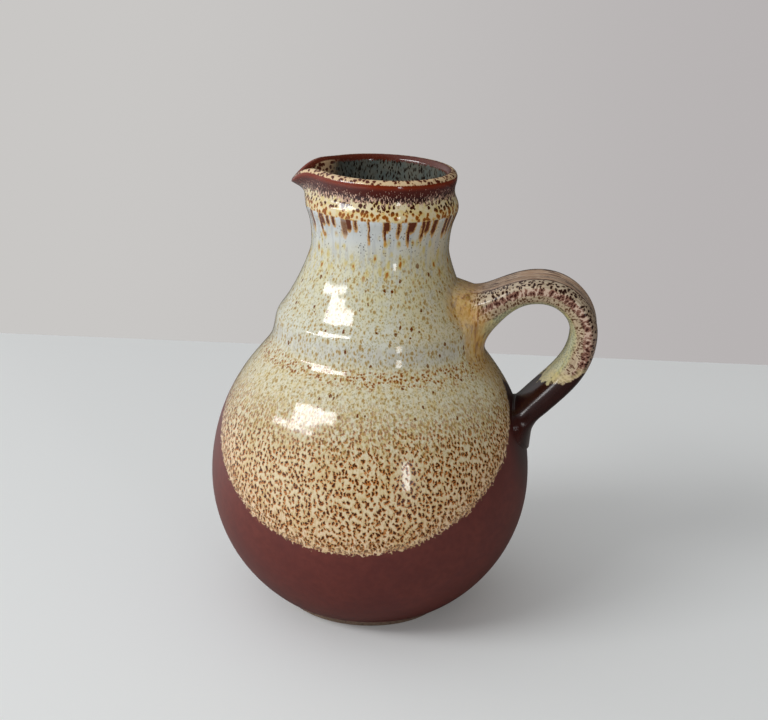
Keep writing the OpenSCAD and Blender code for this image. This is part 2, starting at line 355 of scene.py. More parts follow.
def chain(*runs):
    """Joins runs end to end and leaves out the doubled points."""
    points = []
    for one in runs:
        for point in one:
            if not points or math.dist(points[-1], point) > 0.005:
                points.append(point)
    return points


belly_r, belly_z, belly_low, belly_crown, wall = 78.5, 66.8, 76.5, 86.4, 5.6
step_r = 49.5
slope_h, throat_h, cuff_h, brim_h = 32.9, 19.8, 8.5, 5.8
step_turn = math.degrees(math.acos(step_r / belly_r))
step_foot = (step_r, belly_z + belly_crown * math.sin(math.radians(step_turn)))
step_top = shifted(step_foot, -2.2, 15.4)
waist = (32.8, step_top[1] + slope_h)
bead = (36.2, waist[1] + throat_h)
hollow = (34.0, bead[1] + cuff_h)
rim = (34.8, hollow[1] + brim_h)
print(f"step at {step_foot[1]:.1f} mm, waist at {waist[1]:.1f}, bead at {bead[1]:.1f}, rim at {rim[1]:.1f}")


# %% The outside, from step to rim
slope = [step_top, shifted(step_top, -(step_top[0] - waist[0]) * 0.44, slope_h * 0.24),
         shifted(waist, up=-slope_h * 0.17), waist]
throat = [waist, shifted(waist, up=throat_h * 0.7), shifted(bead, up=-throat_h * 0.2), bead]
round_share = 0.085
neck_seam_share, collar_seam_share = 0.6, 0.35
lower_slope, upper_slope = halves(slope, neck_seam_share)
lower_slope = halves(lower_slope, round_share / neck_seam_share)[1]
low_throat, high_throat = halves(throat, collar_seam_share)
cuff = [bead, shifted(bead, up=cuff_h * 0.4), shifted(hollow, up=-cuff_h * 0.45), hollow]
brim = [hollow, shifted(hollow, up=brim_h * 0.45), shifted(rim, up=-brim_h * 0.45), rim]

# Belly, step and shoulder run into each other: a soft cove under the step, then a rounded brow.
cove_turn = 38.0
belly_end = oval(belly_r, belly_crown, belly_z, 0.0, cove_turn, 1)[-1]
cove_angle = math.radians(cove_turn)
belly_lean = np.array((-belly_r * math.sin(cove_angle), belly_crown * math.cos(cove_angle)))
belly_lean /= np.linalg.norm(belly_lean)
face_top = shifted(step_top, 2.1, -7.8)
cove = [belly_end, shifted(belly_end, *(belly_lean * 14.0)), shifted(face_top, 1.1, -9.0), face_top]
brow = [face_top, shifted(face_top, -0.65, 5.0), shifted(step_top, 1.0, -1.25), on_cubic(slope, round_share)]
cove_low, cove_high = halves(cove, 0.6)
belly_seam = cove_low[3]
print(f"belly ends at radius {belly_seam[0]:.1f}, height {belly_seam[1]:.1f} mm")


# %% [markdown]
# ## Turn the pieces
#
# Each piece is a closed section, up the outside and down the inside, so that it has a real wall. The lip
# belongs to the collar alone, and the other pieces give the wheel no pull.

# %% Throw the bowl, shoulder, neck and collar
LIP = {
    "Lip out": 8.5 * MM, "Lip half": math.radians(46.0), "Lip power": 1.5, "Droop": 6.6 * MM,
    "Droop half": math.radians(35.0), "Droop power": 2.0, "Cheek rise": 0.5 * MM,
    "Pull from": bead[1] * MM, "Pull to": rim[1] * MM, "Pull power": 1.3,
}
NO_LIP = {**LIP, "Lip out": 0.0, "Droop": 0.0, "Cheek rise": 0.0}


def glaze_named(name):
    """A glaze by its name. It is mixed further down; here it is only given its place on a piece."""
    return bpy.data.materials.get(name) or bpy.data.materials.new(name)


def throw(name, outside, inside, glaze, closed=True, lip=NO_LIP, steps=288):
    points = outside + inside
    marks = {"inside": [0.0] * len(outside) + [1.0] * len(inside)}
    line = drawn_line(name, points, closed, marks)
    sizes = {"Steps round": steps, "Section points": len(points), "Columns": len(points) + int(closed),
             "Crease": math.radians(40.0), "Glaze": glaze_named(glaze), **lip}
    piece = fire(name, line, wheel, sizes)
    print(name, "has", len(piece.data.polygons), "faces")
    return piece


def drawn_in(points):
    """The inner face of a wall: the outside moved in by the wall's thickness, from the top down."""
    return [shifted(point, -wall) for point in reversed(points)]


foot_h, floor_z = 5.0, 12.0
low_turn = math.degrees(math.asin((foot_h - belly_z) / belly_low))
heel = oval(belly_r, belly_low, belly_z, low_turn, low_turn + 1.2, 4)
heel_round = [shifted(heel[0], -1.2), shifted(heel[0], -0.3), shifted(heel[0], 0.15, 0.2), heel[-1]]
bowl_out = chain(
    [(0.0, foot_h), (20.0, foot_h), (38.0, foot_h)],
    run(heel_round, 5),
    oval(belly_r, belly_low, belly_z, low_turn + 1.2, 0.0, 60),
    oval(belly_r, belly_crown, belly_z, 0.0, cove_turn, 60),
    run(cove_low, 20),
)
inner_r, inner_low, inner_crown = belly_r - wall, belly_low - wall, belly_crown - wall
floor_turn = math.degrees(math.asin((floor_z - belly_z) / inner_low))
floor_r = inner_r * math.cos(math.radians(floor_turn))
top_turn = math.degrees(math.asin((belly_end[1] - 2.5 - belly_z) / inner_crown))
bowl_in = chain(
    drawn_in(run(cove_low, 10)),
    oval(inner_r, inner_crown, belly_z, top_turn, 0.0, 30),
    oval(inner_r, inner_low, belly_z, 0.0, floor_turn + 7.0, 24),
    run([oval(inner_r, inner_low, belly_z, floor_turn + 7.0, 0.0, 1)[0], (floor_r, floor_z + 3.0),
         (floor_r - 2.0, floor_z), (floor_r - 9.0, floor_z)], 6),
    [(24.0, floor_z), (10.0, floor_z), (0.0, floor_z)],
)
bowl = throw("jug_bowl", bowl_out, bowl_in, "two_glazes", closed=False)

shoulder_out = chain(run(cove_high, 16), run(brow, 18), run(lower_slope, 24))
shoulder = throw("jug_shoulder", shoulder_out, drawn_in(shoulder_out), "pale_glaze")

neck_out = chain(run(upper_slope, 16), run(low_throat, 16))
neck = throw("jug_neck", neck_out, drawn_in(neck_out), "pale_glaze")

rim_t, rim_crown = 5.4, 3.0
crown_turns = [math.pi * i / 20 for i in range(21)]
crown = [(rim[0] - rim_t / 2 + rim_t / 2 * math.cos(turn), rim[1] + rim_crown * math.sin(turn))
         for turn in crown_turns]
inner_rim, inner_seam = shifted(rim, -rim_t), shifted(high_throat[0], -wall)
inner_drop = (inner_rim[1] - inner_seam[1]) * 0.45
collar_out = chain(run(high_throat, 18), run(cuff, 18), run(brim, 12), crown[1:11])
collar_in = chain(crown[11:], run([inner_rim, shifted(inner_rim, up=-inner_drop),
                                   shifted(inner_seam, up=inner_drop), inner_seam], 30))
collar = throw("jug_collar", collar_out, collar_in, "rim_glaze", lip=LIP)


# %% [markdown]
# ## The foot ring
#
# The jug stands on a low turned ring, which is left bare so that it doesn't stick to the kiln shelf. It is
# another turn of the wheel, with its edges eased by a sponge.

# %% Turn the foot ring
foot_r, foot_w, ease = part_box("foot_ring")[1].x / MM, 7.0, 0.8
foot_low_r = foot_r - 1.0
foot_out = chain(
    run([(foot_low_r - ease, 0.0), (foot_low_r - ease / 3, 0.0), (foot_low_r, ease / 3),
         (foot_r - 0.9, ease)], 5),
    [(foot_r - 0.5, foot_h / 2), (foot_r, foot_h)],
)
foot_in_r = foot_low_r - foot_w
foot_in = chain(
    [(foot_in_r - 1.0, foot_h), (foot_in_r - 0.5, foot_h / 2)],
    run([(foot_in_r - 0.1, ease), (foot_in_r, ease / 3), (foot_in_r + ease / 3, 0.0),
         (foot_in_r + ease, 0.0)], 5),
)
foot = throw("jug_foot", foot_out, foot_in, "bare_clay", steps=144)
thrown = {"foot_ring": foot, "bowl": bowl, "shoulder": shoulder, "neck": neck, "collar": collar}


def box_of(piece):
    spots = np.empty(len(piece.data.vertices) * 3)
    piece.data.vertices.foreach_get("co", spots)
    spots = spots.reshape(-1, 3)
    return spots.min(axis=0), spots.max(axis=0)


for node, piece in thrown.items():
    solid = [np.array(corner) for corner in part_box(node)]
    gap = max(max(abs(a - b)) for a, b in zip(box_of(piece), solid))
    print(f"{piece.name} is within {gap / MM:.2f} mm of its solid's box")


# %% [markdown]
# ## The handle
#
# The handle is a strap pulled from a wet lump of clay, bent over and pressed to the pot at both ends. Its
# section has a soft ridge along each side and a shallow thumb groove down the outer face. The centre line
# is three cubics. Along it the strap swells towards both roots and turns square to the wall. A bevelled
# curve has one section for its whole length, so a tree of its own places the section, ring by ring. The
# strap runs on into the wall and is cut off there, out of sight. Its roots are filleted by how near the pot
# is: widely beside and under the upper root, tightly on top of it, and in a feathered tip at the tail.

# %% Draw the strap's line
skin = chain(bowl_out[3:], shoulder_out, neck_out, collar_out[:40])


def skin_r(height):
    """The pot's outer radius at a height."""
    return float(np.interp(height, [point[1] for point in skin], [point[0] for point in skin]))


strap_w, strap_t, strap_edge = 32.0, 13.4, 2.6
root_height, tail_height = step_foot[1] + 17.9, belly_z + 34.5
root_at = np.array((skin_r(root_height), root_height))
arch_at = np.array((78.2, root_at[1] + 14.7))
bend_drop, quarter_pull = 20.6, 0.5523
reach_at = np.array((99.5, arch_at[1] - bend_drop))
tail_at = np.array((skin_r(tail_height), tail_height))
root_span, tail_span = np.linalg.norm(arch_at - root_at), np.linalg.norm(reach_at - tail_at)


def heading(degrees):
    return np.array((math.cos(math.radians(degrees)), math.sin(math.radians(degrees))))


rise = [root_at, root_at + heading(29.0) * root_span * 0.4, arch_at - (root_span * 0.35, 0.0), arch_at]
bend = [arch_at, arch_at + ((reach_at[0] - arch_at[0]) * quarter_pull, 0.0),
        reach_at + (0.0, bend_drop * quarter_pull), reach_at]
fall = [reach_at, reach_at - (0.0, tail_span * 0.38), tail_at + heading(54.0) * tail_span * 0.4, tail_at]
ring_count = 56
near = [(i / ring_count) ** 1.7 for i in range(ring_count + 1)]
line = np.array([on_cubic(rise, share) for share in near]
                + [on_cubic(bend, i / ring_count) for i in range(1, ring_count)]
                + [on_cubic(fall, 1 - share) for share in reversed(near)])
ahead = np.gradient(line, axis=0)
ahead /= np.linalg.norm(ahead, axis=1)[:, None]
along = np.concatenate([[0.0], np.cumsum(np.linalg.norm(np.diff(line, axis=0), axis=1))])
print(f"the strap is {along[-1]:.0f} mm long, in {len(line)} rings")


# %% Swell it at the roots
def flare(distance, length, power):
    return np.clip(1 - distance / length, 0.0, 1.0) ** power


def spread(plain, root, tail):
    return plain / 2 + root * root_flare + tail * tail_flare


to_root, to_tail = along, along[-1] - along
root_l, tail_l = 33.0, 14.0
root_flare, tail_flare = flare(to_root, root_l, 3.0), flare(to_tail, tail_l, 4.0)
root_turn, tail_turn = flare(to_root, root_l, 1.6)[:, None], flare(to_tail, tail_l, 1.6)[:, None]
wall_lean = (skin_r(tail_height + strap_t) - skin_r(tail_height - strap_t)) / (2 * strap_t)
into_wall = np.array((-1.0, wall_lean)) / math.hypot(1.0, wall_lean)
ahead = ahead * (1 - root_turn - tail_turn) + root_turn * (1.0, 0.0) + tail_turn * into_wall
ahead /= np.linalg.norm(ahead, axis=1)[:, None]
rings = {
    "half_width": spread(strap_w, 0.0, 2.5), "outer_rise": spread(strap_t, 6.0, 8.0) - strap_edge,
    "inner_rise": spread(strap_t, 15.0, 1.5) + strap_edge, "plain": (1 - root_flare) * (1 - tail_flare),
    "outer_square": 2.5 - 1.1 * flare(to_tail, tail_l, 1.0),
    "fillet": 1.6 + 7.4 * flare(to_root, along[-1] * 0.9, 1.0),
    "upper_fillet": 2.2 + 3.8 * flare(to_tail, tail_l * 2, 1.0), "along": along,
}
sink = 12.8
line = np.concatenate([[line[0] - (sink, 0.0)] * 2, line, [line[-1] + into_wall * sink] * 2])
ahead = np.concatenate([[ahead[0]] * 2, ahead, [ahead[-1]] * 2])
for mark in rings:
    rings[mark] = np.concatenate([[rings[mark][0]] * 2, rings[mark], [rings[mark][-1]] * 2])
for mark in ("half_width", "outer_rise", "inner_rise"):
    rings[mark][[0, -1]] = 0.0
print("root", np.round(root_at, 1), "tail", np.round(tail_at, 1))


# %% Build the strap tree
STRAP_INPUTS = {
    "Sides": "Int", "Rings": "Int", "Edge": "Float", "Inner square": "Float",
    "Groove width": "Float", "Groove depth": "Float", "Crease": "Float",
    "Pot": "Object", "Core": "Object", "Glaze": "Material",
}


def shape_of(tree, thing):
    return Wire.add(tree, "GeometryNodeObjectInfo", None, {"Object": thing}, out="Geometry")


def vector_sum(tree, operation, first, second, out="Vector"):
    return Wire.add(tree, "ShaderNodeVectorMath", {"operation": operation}, {0: first, 1: second}, out=out)


def over_wall(tree, pot, spot):
    """How far a place is outside the pot's skin, and the way out there."""
    nearest = Wire.add(tree, "GeometryNodeProximity", {"target_element": "FACES"},
                       {0: pot, "Sample Position": spot}, out="Position")
    way = Wire.add(tree, "GeometryNodeSampleNearestSurface", {"data_type": "FLOAT_VECTOR"},
                   {"Mesh": pot, "Value": Wire.add(tree, "GeometryNodeInputNormal"), "Sample Position": spot})
    return vector_sum(tree, "DOT_PRODUCT", vector_sum(tree, "SUBTRACT", spot, nearest), way, "Value"), way


def moved(tree, spot, way, amount):
    """A place moved along a direction by an amount."""
    push = Wire.add(tree, "ShaderNodeVectorMath", {"operation": "SCALE"}, {"Vector": way, "Scale": amount})
    return vector_sum(tree, "ADD", spot, push)


def build_strap():
    tree, given = new_tree("strap", STRAP_INPUTS)

    def read(mark, kind="FLOAT"):
        return from_line(tree, given["Geometry"], mark, row, kind)

    def kept(mark):
        return Wire.add(tree, "GeometryNodeInputNamedAttribute", {"data_type": "FLOAT"}, {"Name": mark})

    columns = given["Sides"] + 1
    grid = Wire.add(tree, "GeometryNodeMeshGrid", None, {"Vertices X": given["Rings"], "Vertices Y": columns})
    index = Wire.add(tree, "GeometryNodeInputIndex")
    row = (index / columns + TINY).floor()
    turn = (index - row * columns) / given["Sides"] * -math.tau
    side, lift = turn.cos(), turn.sin()
    outer = lift > 0.0
    power = 2.0 / (read("outer_square") * outer + given["Inner square"] * (1.0 - outer))
    aside = side.math("SIGN", side) * (abs(side) ** power) * read("half_width")
    rise = lift.math("SIGN", lift) * (abs(lift) ** power)
    rise = rise * (read("outer_rise") * outer + read("inner_rise") * (1.0 - outer)) + given["Edge"]
    across = (abs(aside) / (given["Groove width"] * 0.5)).least(1.0)
    rise = rise - given["Groove depth"] * ((1.0 - across * across) ** 2.0) * read("plain") * outer
    spot_x, _, spot_z = xyz(read("position", "FLOAT_VECTOR"))
    ahead_x, _, ahead_z = xyz(read("ahead", "FLOAT_VECTOR"))
    place = joined(tree, spot_x - ahead_z * rise, aside, spot_z + ahead_x * rise)
    shape = keep_mark(tree, grid, "along", read("along") / MM)
    shape = keep_mark(tree, shape, "aside", aside / MM)
    shape = keep_mark(tree, shape, "lift", (rise - given["Edge"]) / MM)
    for mark in ("fillet", "upper_fillet"):
        shape = keep_mark(tree, shape, mark, read(mark))
    shape = Wire.add(tree, "GeometryNodeSetPosition", None, {"Geometry": shape, "Position": place})
    shape = Wire.add(tree, "GeometryNodeMergeByDistance", None, {"Geometry": shape, "Distance": WELD})
    pot = shape_of(tree, given["Pot"])
    here = Wire.add(tree, "GeometryNodeInputPosition")
    normal = Wire.add(tree, "GeometryNodeInputNormal")
    upper = kept("lift").ease(-3.0, 3.0)
    reach = kept("fillet") * (1.0 - upper) + kept("upper_fillet") * upper
    over, way = over_wall(tree, pot, here)
    shape = keep_mark(tree, shape, "wall_gap", over / MM)
    short = (reach - over.most(0.0)).most(0.0)
    sunk = over.least(0.0).most(-3.5 * MM) * (reach / (3.0 * MM)) * -1.0
    slide = reach - (reach * reach - short * short).most(0.0).sqrt() + sunk
    beside = moved(tree, normal, way, vector_sum(tree, "DOT_PRODUCT", normal, way, "Value") * -1.0)
    beside = Wire.add(tree, "ShaderNodeVectorMath", {"operation": "NORMALIZE"}, {0: beside})
    place = moved(tree, here, beside, slide)
    over_there, way_there = over_wall(tree, pot, place)
    place = moved(tree, place, way_there, over - over_there)
    shape = Wire.add(tree, "GeometryNodeSetPosition", None, {"Geometry": shape, "Position": place})
    core = shape_of(tree, given["Core"])
    shape = Wire.add(tree, "GeometryNodeMeshBoolean", {"operation": "DIFFERENCE", "solver": "EXACT"},
                     {"Mesh 1": shape, "Mesh 2": core, "Self Intersection": True})
    finish_tree(tree, shape, given["Crease"], given["Glaze"])
    return tree


strap = build_strap()
print("strap:", len(strap.nodes), "nodes")


# %% Pull the handle
grip_low, grip_high = 60.0, 190.0


def solid_pot(name, depth):
    """A plain solid of the pot's outer shape, less a depth, to measure and cut the handle by."""
    wall_line = [shifted(point, -depth) for point in skin if grip_low < point[1] < grip_high]
    outside = [(0.0, wall_line[0][1]), *wall_line, (0.0, wall_line[-1][1])]
    return throw(name, outside, [], "bare_clay", closed=False, steps=240)


pot, core = solid_pot("pot", 0.0), solid_pot("core", 2.8)
marks = {mark: values * (1.0 if mark in ("plain", "outer_square") else MM) for mark, values in rings.items()}
marks["ahead"] = np.stack([ahead[:, 0], np.zeros(len(ahead)), ahead[:, 1]], axis=1)
handle = fire("jug_handle", drawn_line("jug_handle", line, False, marks), strap, {
    "Sides": 112, "Rings": len(line), "Edge": strap_edge * MM, "Inner square": 2.7,
    "Groove width": 18.0 * MM, "Groove depth": 0.7 * MM, "Crease": math.radians(60.0),
    "Pot": pot, "Core": core, "Glaze": glaze_named("handle_glaze"),
})
for helper in (pot, core):
    bpy.data.objects.remove(helper)
print(handle.name, "has", len(handle.data.polygons), "faces, in the box", np.round(box_of(handle), 4).tolist())


# %% [markdown]
# ## Tones and patterns for the glazes
#
# A glaze is glass, coloured by what melted into it. Three patterns make this one: clouds, where the coat
# is thicker or thinner; runs, which are clouds stretched downwards; and scattered spots, where iron bled
# into the glaze. Spots come from Voronoi cells whose edges are pushed about by noise, so that no two match.
# All of them read the place on the object itself, in millimetres, so a pattern carries on from one piece
# to the next.

# %% Patterns
def tone(red, green, blue):
    """A colour as read off a screen, 0 to 255, in the linear values that a node takes."""
    linear = [(v / 255 / 12.92) if v <= 10 else ((v / 255 + 0.055) / 1.055) ** 2.4 for v in (red, green, blue)]
    return (*linear, 1.0)


def blend(share, first, second):
    """A colour between two others."""
    tree = next(wire for wire in (share, first, second) if isinstance(wire, Wire)).socket.id_data
    return Wire.add(tree, "ShaderNodeMix", {"data_type": "RGBA"}, {0: share, 6: first, 7: second}, out=2)


def as_colour(value):
    return value if isinstance(value, Wire) else tone(*value)


def coats(ground, *layers):
    """Lays coats over a ground in turn, each by its share. A colour is a wire or three screen numbers."""
    ground = as_colour(ground)
    for share, coat in layers:
        ground = blend(share, ground, as_colour(coat))
    return ground


def tall(place, squash=1.0, shift=0.0):
    """A place with its height squashed, so that a pattern drawn there comes out taller, and moved along."""
    return Wire.add(place.socket.id_data, "ShaderNodeMapping", None,
                    {"Vector": place, "Scale": (1.0, 1.0, squash), "Location": (shift, shift, shift)})


def clouds(place, size, detail=2.0, rough=0.5):
    return Wire.add(place.socket.id_data, "ShaderNodeTexNoise", None,
                    {"Vector": place, "Scale": 1.0 / size, "Detail": detail, "Roughness": rough})


def drift_of(place, size):
    """A direction that wanders with the clouds."""
    return vector_sum(place.socket.id_data, "SUBTRACT", clouds(place, size).other("Color"), (0.5, 0.5, 0.5))


def pushed(place, size, amount):
    """Moves a place about by noise, so that what is drawn there gets ragged edges."""
    return moved(place.socket.id_data, place, drift_of(place, size), amount)


def scatter(place, spacing, uneven=0.0, dimensions="3D"):
    """Distance to the nearest of scattered spots, in spacings, and a number drawn for that spot."""
    tree = place.socket.id_data
    cell = Wire.add(tree, "ShaderNodeTexVoronoi", {"voronoi_dimensions": dimensions, "feature": "F1"},
                    {"Vector": place, "Scale": 1.0 / spacing, "Randomness": 1.0})
    lot = Wire.add(tree, "ShaderNodeSeparateColor", None, {"Color": cell.other("Color")})
    return cell + (1.0 - lot) * uneven, lot


def spots(place, spacing, squash=1.0, shift=0.0, uneven=0.12):
    """A scatter whose spots are bent out of round, and taller than wide if squashed."""
    bent = pushed(pushed(tall(place, squash, shift), 2.4, 1.7), 0.7, 0.6)
    return scatter(bent, spacing, uneven)


def on_belly(x, y, z):
    """A place on the belly as millimetres round it and up it. The seam is under the handle."""
    round_it = y.math("ARCTAN2", y, x * -1.0) * 72.0
    up_it = z.math("ARCTAN2", z - belly_z, (x * x + y * y).sqrt()) * 58.0
    return joined(x.socket.id_data, round_it, up_it, 0.0)


def even_spots(place, spot, spacing, shift=0.0, uneven=0.13):
    """Spots of about one size, spread over a surface laid flat, and the fringe at one side of each."""
    tree = place.socket.id_data
    for size, amount in ((2.6, 2.2), (0.9, 1.2)):
        spot = moved(tree, spot, drift_of(tall(place, shift=shift), size), amount)
    beside = moved(tree, spot, (0.22, 0.30, 0.0), 1.0)
    return [scatter(at, spacing, uneven, "2D")[0] for at in (spot, beside)]


def start_glaze(name):
    """Clears a glaze's tree and gives the place on the object, in millimetres."""
    material = glaze_named(name)
    material.use_nodes = True
    tree = material.node_tree
    tree.nodes.clear()
    place = Wire.add(tree, "ShaderNodeTexCoord", None, None, out="Object")
    return tree, Wire.add(tree, "ShaderNodeMapping", None, {"Vector": place, "Scale": (1.0 / MM,) * 3})


def end_glaze(tree, colour, roughness, relief, depth=0.05, ior=1.52):
    normal = Wire.add(tree, "ShaderNodeBump", None, {"Strength": 1.0, "Distance": depth * MM, "Height": relief})
    shader = Wire.add(tree, "ShaderNodeBsdfPrincipled", None,
                      {"Base Color": colour, "Roughness": roughness, "Normal": normal, "IOR": ior})
    Wire.add(tree, "ShaderNodeOutputMaterial", None, {"Surface": shader})


print("patterns ready")


# %% [markdown]
# ## Where the two glazes meet
#
# The jug is dipped mouth down into the pale glaze, tilted to the front and then to the back, so the border
# is a flat cut through the pot on each side. The height above that cut, in millimetres, is the one number
# that the border and the spots near it depend on.

# %% The dip line
DIP_LEVEL, DIP_TILT_X, DIP_TILT_Y, DIP_SQUARE = 116.7, 0.056, 0.783, 0.7865


def dip_height(place):
    """Millimetres above the dip line, measured square to it, and the three parts of the place."""
    x, y, z = xyz(place)
    wave = (clouds(place, 16.0) - 0.5) * 2.0
    return (z - x * DIP_TILT_X + abs(y) * DIP_TILT_Y - DIP_LEVEL) * DIP_SQUARE + wave, (x, y, z)


print("dip line set")


# %% [markdown]
# ## The pale glaze
#
# Low on the belly it is a cream crowded with dark brown spots, each with an orange fringe and a tan halo,
# so that the cream is left as a net between them. Higher up the spots turn to olive and amber specks, and
# on the shoulder and neck the ground is a cool, milky grey with fine runs. A ring of small brown spots
# gathers in the hollow under the step. All this is mixed in layers, from the ground up: each line of a mix
# is one coat, with the share that it covers and its colour.

# %% The ground of the pale glaze
def pale_ground(place, above, x, z):
    drift = clouds(tall(place, 0.45, 7.0), 10.0, 3.0)
    runs = clouds(tall(place, 0.10), 2.0)
    fine = clouds(tall(place, 0.4, 3.0), 1.0, 2.0, 0.6)
    level = z + (drift - 0.5) * 26.0
    tint = coats((188, 152, 96), (z.ease(96.0, 150.0), (188, 182, 146)))
    yellow = z.fall(124.0, 144.0) * 0.2 + z.fall(166.0, 184.0) * 0.25
    veil = z.ease(146.0, 162.0) * z.fall(178.0, 192.0) * drift.ease(0.34, 0.56)
    # face marks the step's upright face, which is given a painted grey reflection broken by runs.
    face = z.ease(135.0, 139.0) * z.fall(143.0, 148.0) * runs.ease(0.3, 0.55)
    ground = coats(
        (230, 202, 168),
        (above.ease(1.0, 20.0), (220, 203, 168)),
        (level.ease(90.0, 114.0), (212, 207, 182)),
        (z.ease(128.0, 150.0), (204, 204, 191)),
        (z.ease(180.0, 194.0), (200, 203, 201)),
        (fine.ease(0.44, 0.70) * z.fall(160.0, 188.0) * 0.6, tint),
        (runs.ease(0.48, 0.66) * z.ease(92.0, 112.0) * yellow, (204, 178, 108)),
        (veil * 0.55, (204, 197, 154)),
        (drift.ease(0.50, 0.70) * z.fall(112.0, 140.0) * 0.35, (198, 168, 102)),
        # A warm tint on the handle side, from the step up: partly painted warm reflected light in the shade,
        # partly glaze running thick towards the handle.
        (x.ease(4.0, 34.0) * z.ease(126.0, 150.0) * 0.5, (200, 182, 138)),
        (runs.fall(0.40, 0.50) * z.ease(150.0, 185.0) * 0.55, (176, 178, 178)),
        # Painted reflection: the step's face greyed.
        (face * 0.5, (188, 187, 186)),
    )
    return ground, drift, runs, level


print("ground ready")


# %% Spots of the pale glaze
def pale_glaze(place):
    """Colour, relief, height above the dip line, and the three parts of the place."""
    above, (x, y, z) = dip_height(place)
    ground, drift, runs, level = pale_ground(place, above, x, z)
    low, middle, high = level.fall(98.0, 124.0), level.fall(104.0, 130.0), level.ease(92.0, 118.0)
    upper, hem = high * z.fall(172.0, 190.0), above.fall(2.0, 9.0)
    ring = (z + (drift - 0.5) * 10.0).ease(126.5, 130.0) * z.fall(133.5, 136.5)
    flat = on_belly(x, y, z)
    far, fringe = even_spots(place, flat, 1.66)
    hole, hole_fringe = even_spots(place, flat, 1.4, 29.0)
    speck, speck_lot = spots(place, 1.7, 0.6, 31.0, 0.2)
    dust = spots(place, 0.9, 0.6, 17.0)[0]
    bead_spot, bead_lot = spots(place, 1.5, 1.0, 11.0)
    colour = coats(
        ground,
        (far.fall(0.42, 0.66) * low * 0.7, (198, 164, 108)),
        (fringe.fall(0.34, 0.46) * (low * 0.55 + middle * 0.35), (178, 102, 36)),
        (far.fall(0.26, 0.38) * (low * 0.78 + middle * 0.2), (62, 24, 5)),
        (hole_fringe.fall(0.32, 0.46) * hem * 0.5, (184, 130, 78)),
        (hole.fall(0.25, 0.34) * hem * 0.85, (82, 36, 12)),
        (speck.fall(0.36, 0.62) * upper * 0.5, (192, 172, 102)),
        (speck.fall(0.30, 0.44) * upper * 0.76, (150, 112, 50)),
        (speck.fall(0.34, 0.46) * upper * speck_lot.ease(0.955, 0.97), (104, 52, 20)),
        (dust.fall(0.36, 0.50) * high * z.fall(170.0, 192.0) * 0.5, (146, 130, 84)),
        (bead_spot.fall(0.42, 0.62) * ring * 0.7, (190, 148, 82)),
        (bead_spot.fall(0.34, 0.46) * ring * bead_lot.ease(0.1, 0.3), (130, 76, 34)),
    )
    relief = far.fall(0.22, 0.42) * low * -0.35 + drift * 1.2 + runs * 0.3
    return colour, relief, above, (x, y, z)


print("pale glaze ready")


# %% [markdown]
# ## Drips under the collar
#
# Brown from the rim ran down the neck in separate drips, dark at the top and amber where they thin out,
# with amber drops and columns of tiny dark dots between them. Each drip is a cell of a scatter laid round
# the neck, so its width and length are numbers drawn for that cell. The scatter's seam is on the handle's
# side.

# %% Drips and drops
DRIP_SPACING, DRIP_TOP = 3.6, 200.5


def drips(place, colour, x, y, z):
    tree = place.socket.id_data
    wobble = (clouds(tall(place, 0.35, 23.0), 2.4) - 0.5) * 2.0
    round_neck = y.math("ARCTAN2", y, x * -1.0) * -34.0 - 113.4 + wobble
    cell = Wire.add(tree, "ShaderNodeTexVoronoi", {"voronoi_dimensions": "1D", "feature": "F1"},
                    {"W": round_neck, "Scale": 1.0 / DRIP_SPACING, "Randomness": 1.0})
    lots = Wire.add(tree, "ShaderNodeSeparateColor", None, {"Color": cell.other("Color")})
    length, width, kind = 5.0 + lots * 9.0, 0.5 + lots.other("Green") * 1.2, lots.other("Blue")
    share = (z - DRIP_TOP + length) / length
    half = width * share.ease(0.0, 0.45)
    inset = half - cell * DRIP_SPACING + (clouds(tall(place, shift=13.0), 0.9) - 0.5) * 1.2
    here = kind.ease(0.18, 0.26) * share.ease(0.0, 0.12)
    wet = inset.ease(-0.75, -0.1) * here
    drop, drop_lot = spots(place, 3.0, 0.45, 53.0)
    belt = z.ease(168.0, 178.0) * z.fall(190.0, 196.0)
    dots = scatter(pushed(tall(place, 0.75, 71.0), 1.2, 0.8), 1.25, 0.1)[0]
    crowd = clouds(tall(place, 0.15, 41.0), 3.6).ease(0.42, 0.54) * z.ease(180.0, 188.0)
    return coats(
        colour,
        (drop.fall(0.28, 0.54) * belt * 0.8, (198, 178, 104)),
        (drop.fall(0.20, 0.32) * belt * drop_lot.ease(0.25, 0.5), (160, 96, 30)),
        (dots.fall(0.23, 0.34) * crowd * 0.8, (78, 68, 66)),
        (wet * 0.85, (198, 146, 62)),
        (inset.ease(-0.15, 0.45) * here * share.ease(0.1, 0.4), (92, 38, 10)),
        # Painted highlight: a bluish-white line along the bead's lower edge, left out where a drip runs.
        (z.ease(198.8, 200.2) * (1.0 - wet) * 0.5, (206, 212, 216)),
    )


print("drips ready")


# %% [markdown]
# ## The brown glaze
#
# The lower glaze is a satin red-brown. It is duller than the pale glaze and finely mottled. Along the
# border the pale coat thins out into a grainy edge with a warm rind.

# %% Satin brown glaze and the border
def brown_glaze(place):
    mottle, fine, drift = clouds(place, 3.2, 4.0, 0.6), clouds(place, 0.7), clouds(place, 26.0)
    colour = coats(
        (98, 41, 35),
        (mottle.ease(0.3, 0.7), (110, 49, 41)),
        (drift.ease(0.35, 0.7) * 0.5, (90, 38, 36)),
        (fine.ease(0.62, 0.8) * 0.25, (116, 64, 54)),
    )
    return colour, mottle * 0.5 + fine * 0.2


def tail_shade_share(x, y, z):
    """How near a place is to the handle's tail, where the brown is painted darker as the handle's shade and
    dark reflection.
    """
    return x.ease(44.0, 66.0) * abs(y).fall(14.0, 32.0) * z.ease(62.0, 88.0)


